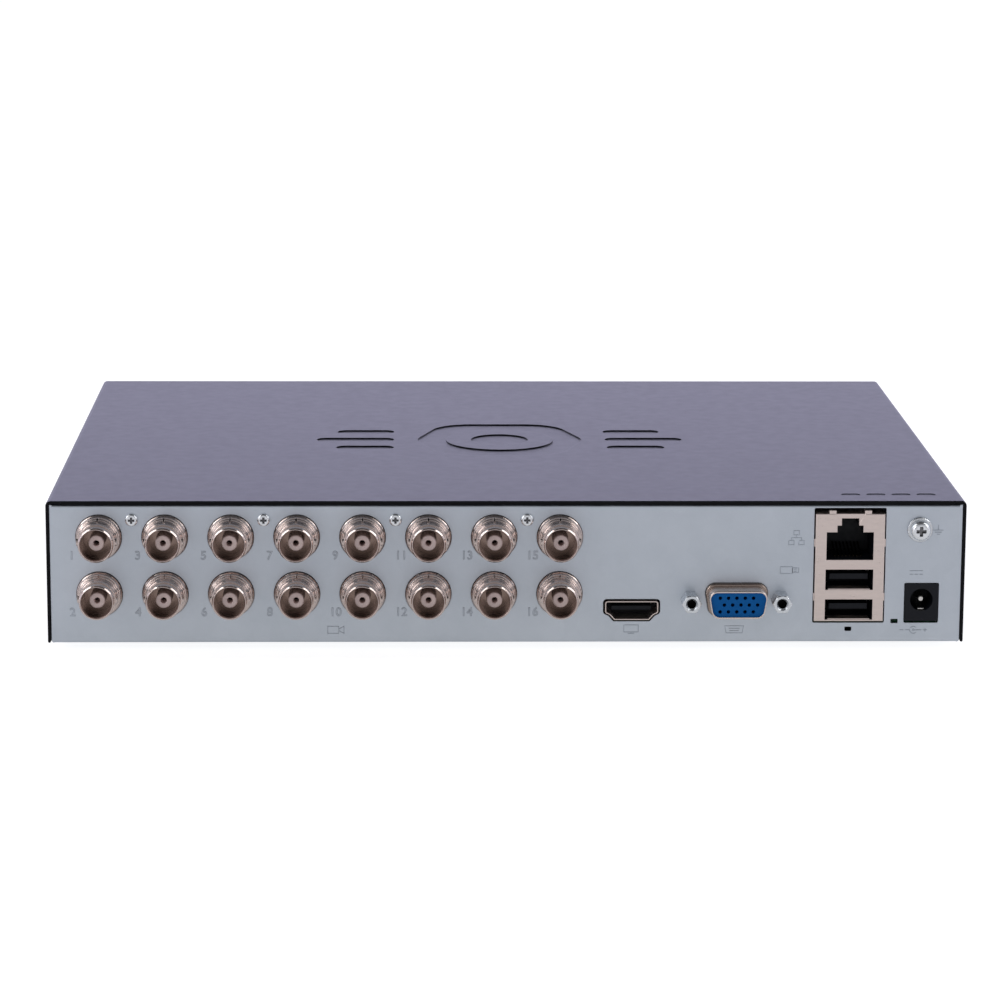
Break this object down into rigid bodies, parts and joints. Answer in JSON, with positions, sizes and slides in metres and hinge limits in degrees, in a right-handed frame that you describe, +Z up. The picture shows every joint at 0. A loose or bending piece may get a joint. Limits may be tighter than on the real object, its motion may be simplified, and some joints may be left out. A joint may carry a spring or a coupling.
{
  "type": "dvr recorder",
  "caption": "Low steel video recorder case with coax camera inputs, video, network, serial-bus and power sockets on its rear panel, and a hard drive inside.",
  "frame": {"origin": "on the surface the feet stand on, under the middle of the whole object", "axes": "+X along the case's long side, to the left as one faces the rear sockets; +Y out of the rear sockets, so the bezel faces -Y; +Z up"},
  "size_m": [0.2532, 0.2052, 0.0424],
  "materials": {
    "galvanized_panel": "passivated galvanized sheet",
    "black_cover": "fine-textured black powder coat",
    "black_bezel": "moulded black plastic",
    "light_guide": "clear moulding",
    "foot_rubber": "matt",
    "black_screw": "blackened steel",
    "zinc": "bright zinc plating",
    "jack_nickel": "warm nickel plating",
    "nickel": "bright nickel plating",
    "tinned_shell": "tin plating",
    "black_moulding": "moulded",
    "jack_insulator": "pale moulding",
    "blue_moulding": "moulded",
    "white_moulding": "moulded",
    "gilt": "gold flash",
    "green_board": "solder mask",
    "blue_board": "solder mask",
    "chip_black": "epoxy",
    "sink_aluminium": "anodized",
    "capacitor_sleeve": "shrink sleeve",
    "coil_grey": "pressed powder",
    "cell_steel": "bright",
    "cast_aluminium": "cast and coated",
    "drive_lid_steel": "satin",
    "platter_mirror": "polished",
    "arm_aluminium": "satin",
    "magnet_nickel": "nickel plating",
    "red_lead": "moulded",
    "lead_wire": "insulated wire"
  },
  "bodies": {
    "case": {"base_chassis": "galvanized_panel", "board_capacitors": "capacitor_sleeve", "board_chips": "chip_black", "board_coils": "coil_grey", "board_headers": "white_moulding", "buzzer": "black_moulding", "chassis_screws": "zinc", "coax_jack_contacts": "gilt", "coax_jack_insulators": "jack_insulator", "coax_jack_shell_01": "jack_nickel", "coax_jack_shell_02": "jack_nickel", "coax_jack_shell_03": "jack_nickel", "coax_jack_shell_04": "jack_nickel", "coax_jack_shell_05": "jack_nickel", "coax_jack_shell_06": "jack_nickel", "coax_jack_shell_07": "jack_nickel", "coax_jack_shell_08": "jack_nickel", "coax_jack_shell_09": "jack_nickel", "coax_jack_shell_10": "jack_nickel", "coax_jack_shell_11": "jack_nickel", "coax_jack_shell_12": "jack_nickel", "coax_jack_shell_13": "jack_nickel", "coax_jack_shell_14": "jack_nickel", "coax_jack_shell_15": "jack_nickel", "coax_jack_shell_16": "jack_nickel", "coin_cell": "cell_steel", "coin_cell_holder": "black_moulding", "drive_base": "cast_aluminium", "drive_board": "blue_board", "drive_data_lead": "red_lead", "drive_lid": "drive_lid_steel", "drive_lid_screws": "black_screw", "drive_magnets": "magnet_nickel", "drive_power_lead": "lead_wire", "front_bezel": "black_bezel", "hdmi_socket_shell": "tinned_shell", "hdmi_socket_tongue": "black_moulding", "heat_sink": "sink_aluminium", "jack_block_screws": "zinc", "jack_blocks": "black_moulding", "lights_board": "green_board", "main_board": "green_board", "port_stack_contacts": "gilt", "port_stack_insert": "black_moulding", "port_stack_shell": "tinned_shell", "power_jack_body": "black_moulding", "power_jack_contacts": "nickel", "rubber_feet": "foot_rubber", "status_light_guide": "light_guide", "status_lights_lead": "lead_wire", "vga_jack_posts": "zinc", "vga_socket_insert": "blue_moulding", "vga_socket_shell": "tinned_shell"},
    "cover": {"top_cover": "black_cover", "cover_screws": "black_screw", "cover_nuts": "zinc"},
    "spindle": {"drive_platters": "platter_mirror"},
    "head_arm": {"drive_arm": "arm_aluminium"},
    "earth_washer_body": {"earth_washer": "zinc"},
    "earth_screw_body": {"earth_screw": "zinc"}
  },
  "joints": [
    {"name": "cover_lift", "type": "slide", "parent": "case", "child": "cover", "axis": [0, 0, 1], "range_m": [0, 0.08]},
    {"name": "platter_spin", "type": "hinge", "parent": "case", "child": "spindle", "pos_m": [-0.034, -0.034, 0.02], "axis": [0, 0, 1], "continuous": true},
    {"name": "head_swing", "type": "hinge", "parent": "case", "child": "head_arm", "pos_m": [0.019, -0.0248, 0.02], "axis": [0, 0, 1], "range_deg": [-34, 0]},
    {"name": "earth_screw_travel", "type": "slide", "parent": "case", "child": "earth_washer_body", "axis": [0, 1, 0], "range_m": [0, 0.003]},
    {"name": "earth_screw_turn", "type": "hinge", "parent": "earth_washer_body", "child": "earth_screw_body", "pos_m": [-0.1139, 0.0936, 0.0343], "axis": [0, 1, 0], "range_deg": [0, 2160]}
  ],
  "couplings": [
    {"joint": "earth_screw_turn", "follows": "earth_screw_travel", "rad_per_m": 12566}
  ]
}
